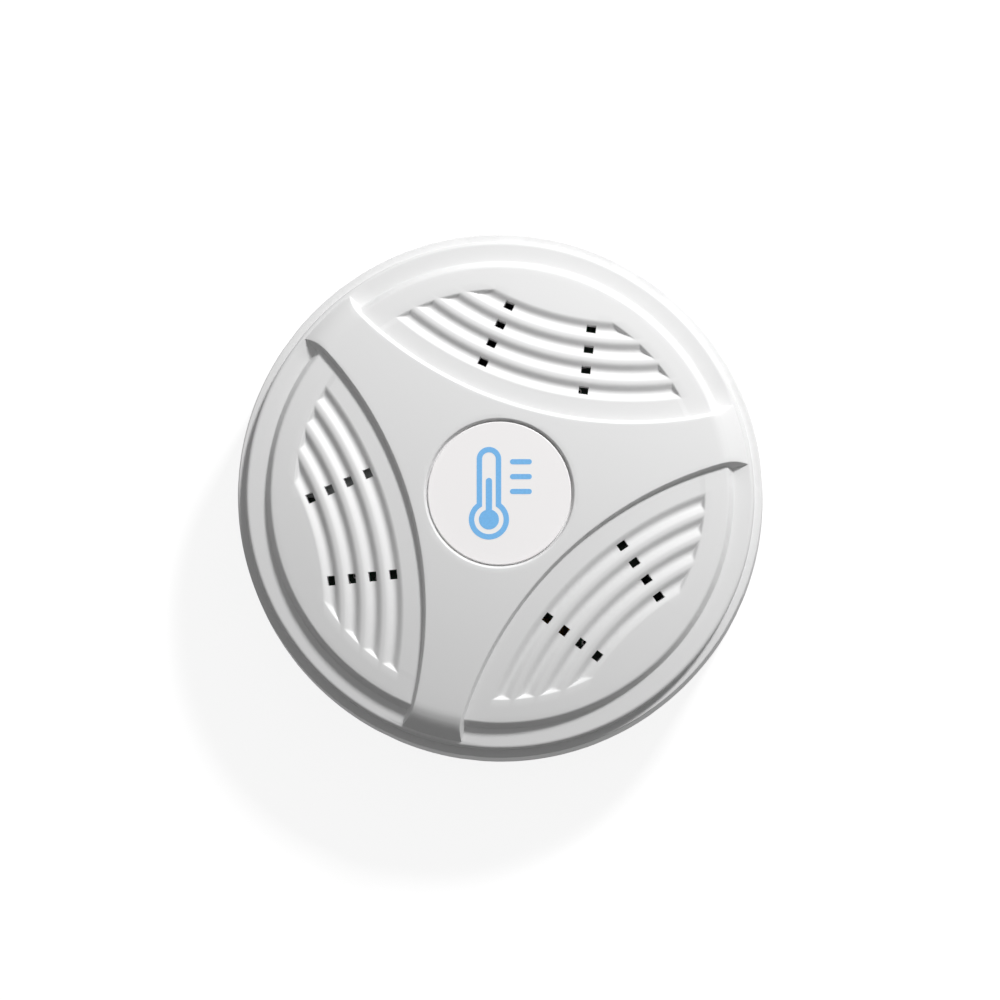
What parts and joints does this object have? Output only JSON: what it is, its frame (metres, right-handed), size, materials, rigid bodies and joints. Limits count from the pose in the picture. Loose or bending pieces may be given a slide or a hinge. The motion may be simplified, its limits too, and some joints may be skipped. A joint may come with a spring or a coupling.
{
  "type": "room temperature sensor",
  "caption": "Round room temperature sensor: domed cover with a three-armed star and grooved vents over a wall base with a battery powered radio board.",
  "frame": {"origin": "centre of the back face, which lies on the wall or shelf", "axes": "+Z out of the front face, +Y up on the wall, +X to the right as seen from the front"},
  "size_m": [0.06, 0.06, 0.0168],
  "materials": {
    "cover_plastic": "fine matt moulded ABS, light grey",
    "label_film": "printed polyester film, satin",
    "base_plastic": "matt moulded ABS, light grey",
    "board_laminate": "solder mask on glass laminate, satin",
    "screw_steel": "zinc plated steel",
    "tray_plastic": "moulded nylon, black",
    "cell_steel": "bright pressed stainless steel",
    "contact_metal": "nickel plated spring strip",
    "chip_epoxy": "moulded epoxy, black",
    "shield_metal": "tin plated pressed sheet",
    "crystal_metal": "gold toned metal lid",
    "switch_plastic": "moulded thermoplastic, black",
    "plunger_plastic": "moulded thermoplastic, grey",
    "lamp_resin": "clear cast resin",
    "tantalum_yellow": "moulded epoxy, yellow",
    "ceramic_tan": "fired ceramic",
    "resistor_black": "glass coated film",
    "ferrite_grey": "pressed ferrite"
  },
  "bodies": {
    "base": {"rear_base": "base_plastic", "circuit_board": "board_laminate", "board_screws": "screw_steel", "battery_holder": "tray_plastic", "coin_cell": "cell_steel", "positive_contact": "contact_metal", "negative_contact": "contact_metal", "microcontroller": "chip_epoxy", "radio_chip": "chip_epoxy", "radio_shield": "shield_metal", "antenna_strip": "shield_metal", "crystal": "crystal_metal", "temperature_sensor": "chip_epoxy", "switch_body": "switch_plastic", "switch_frame": "screw_steel", "status_led": "lamp_resin", "bulk_capacitor": "tantalum_yellow", "capacitors": "ceramic_tan", "resistors": "resistor_black", "choke": "ferrite_grey"},
    "cover": {"front_cover": "cover_plastic", "centre_label": "label_film"},
    "plunger": {"switch_plunger": "plunger_plastic"}
  },
  "joints": [
    {"name": "cover_lift", "type": "slide", "parent": "base", "child": "cover", "axis": [0, 0, 1], "range_m": [0, 0.025]},
    {"name": "switch_press", "type": "slide", "parent": "base", "child": "plunger", "axis": [0, 0, -1], "range_m": [0, 0.00025], "stiffness_N_per_m": 6400}
  ]
}
